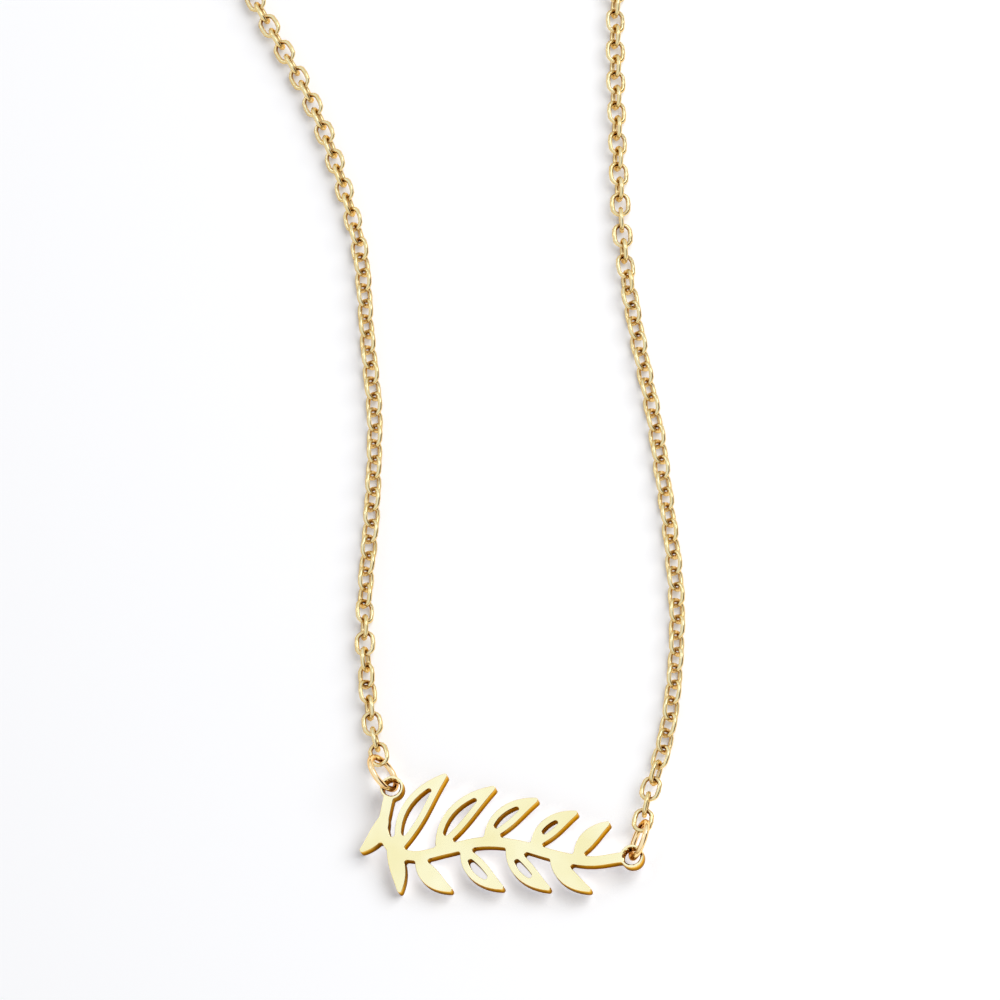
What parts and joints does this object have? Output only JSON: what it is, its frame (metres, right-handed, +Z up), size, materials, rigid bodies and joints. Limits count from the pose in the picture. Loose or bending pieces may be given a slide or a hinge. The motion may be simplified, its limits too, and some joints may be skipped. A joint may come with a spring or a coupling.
{
  "type": "nameplate necklace",
  "caption": "Gold-plated nameplate necklace: a pierced plate with a leafy branch between two cable chain strands, with jump rings and a round clasp.",
  "frame": {"origin": "middle of the necklace's bounding box, on the surface that it lies on", "axes": "+Z up from the surface, +Y from the nameplate at the front towards the clasp at the back, +X to the right as the plate's face is seen"},
  "size_m": [0.0658, 0.1851, 0.0048],
  "materials": {
    "plate": "polished gold plating",
    "chain": "polished gold plating",
    "findings": "polished gold plating"
  },
  "bodies": {
    "root": {"nameplate": "plate", "jump_ring_left": "findings", "jump_ring_right": "findings", "chain_left": "chain", "chain_right": "chain", "clasp": "findings", "end_ring": "findings"}
  },
  "joints": []
}
